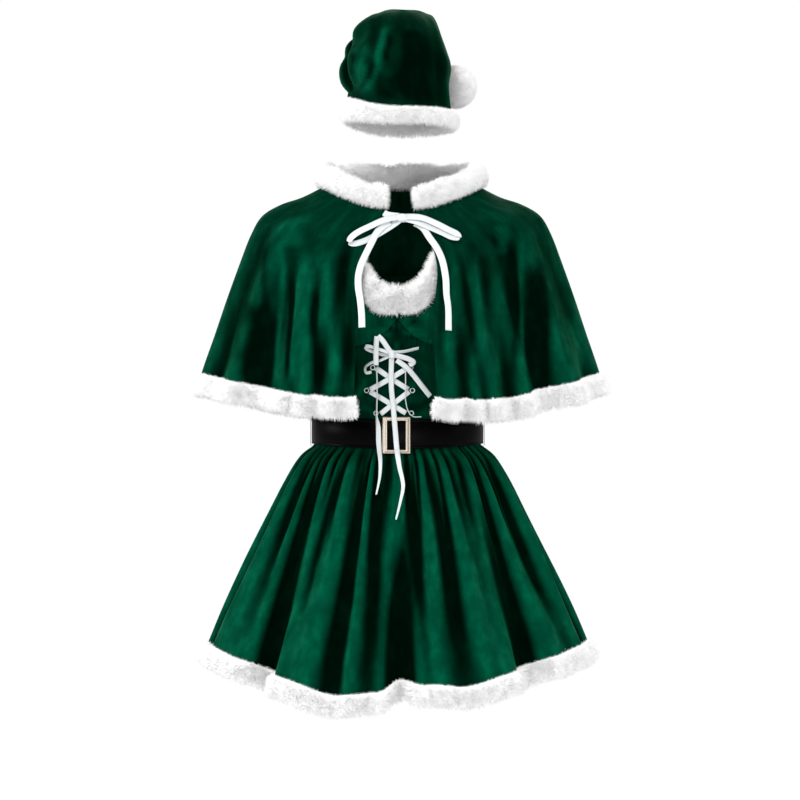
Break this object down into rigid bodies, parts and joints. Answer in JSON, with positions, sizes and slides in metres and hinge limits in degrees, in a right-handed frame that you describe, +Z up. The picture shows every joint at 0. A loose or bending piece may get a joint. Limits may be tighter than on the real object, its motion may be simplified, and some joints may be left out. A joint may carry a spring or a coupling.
{
  "type": "dress cape and hat set",
  "caption": "Short green velvet dress, shoulder cape and soft pointed hat, with white plush trim, laced midriff, tie ribbon and buckled belt.",
  "frame": {"origin": "the middle of the cape's neck opening at shoulder height, where the wearer's shoulders and neck carry the set", "axes": "+Z up, -Y the front of the garment, +X to the right of someone facing its front"},
  "size_m": [0.5767, 0.4557, 0.968],
  "materials": {
    "velvet": "dark green pile velvet with a broad soft sheen on the folds",
    "plush": "short dense white plush, matt and fluffy",
    "ribbon": "white woven ribbon with a slight satin gloss",
    "leather": "black imitation leather, fine grain, soft gloss",
    "buckle": "pale champagne plated metal with bevelled edges"
  },
  "bodies": {
    "root": {"bodice_cup_left": "velvet", "bodice_cup_right": "velvet", "bodice_front": "velvet", "bodice_back": "velvet", "neck_trim_left": "plush", "neck_trim_right": "plush", "skirt_front": "velvet", "skirt_trim_front": "plush", "skirt_back": "velvet", "skirt_trim_back": "plush", "belt": "leather", "buckle": "buckle", "belt_loop_left": "ribbon", "belt_loop_right": "ribbon", "strap_left": "velvet", "strap_right": "velvet", "lace_loop_1": "ribbon", "lace_loop_2": "ribbon", "lace_loop_3": "ribbon", "lace_loop_4": "ribbon", "lace_loop_5": "ribbon", "lace_loop_6": "ribbon", "lace_cross_1": "ribbon", "lace_cross_2": "ribbon", "lace_cross_3": "ribbon", "lace_cross_4": "ribbon", "lace_strip": "ribbon", "lace_diagonal": "ribbon", "lace_bow_right": "ribbon", "lace_bow_low": "ribbon", "lace_tail_centre": "ribbon", "lace_tail_left": "ribbon", "lace_tail_right": "ribbon", "lace_strand": "ribbon", "lace_knot": "ribbon", "lace_bow_left": "ribbon", "lace_curl": "ribbon", "cape_front_right": "velvet", "cape_trim_right": "plush", "cape_back": "velvet", "cape_trim_back": "plush", "cape_front_left": "velvet", "cape_trim_left": "plush", "collar": "plush", "tie_knot": "ribbon", "tie_band_left": "ribbon", "tie_band_right": "ribbon", "tie_tail_left": "ribbon", "tie_tail_right": "ribbon", "tie_loop_left": "ribbon", "tie_loop_right": "ribbon", "hat_body": "velvet", "hat_brim": "plush", "hat_pompom": "plush"}
  },
  "joints": []
}
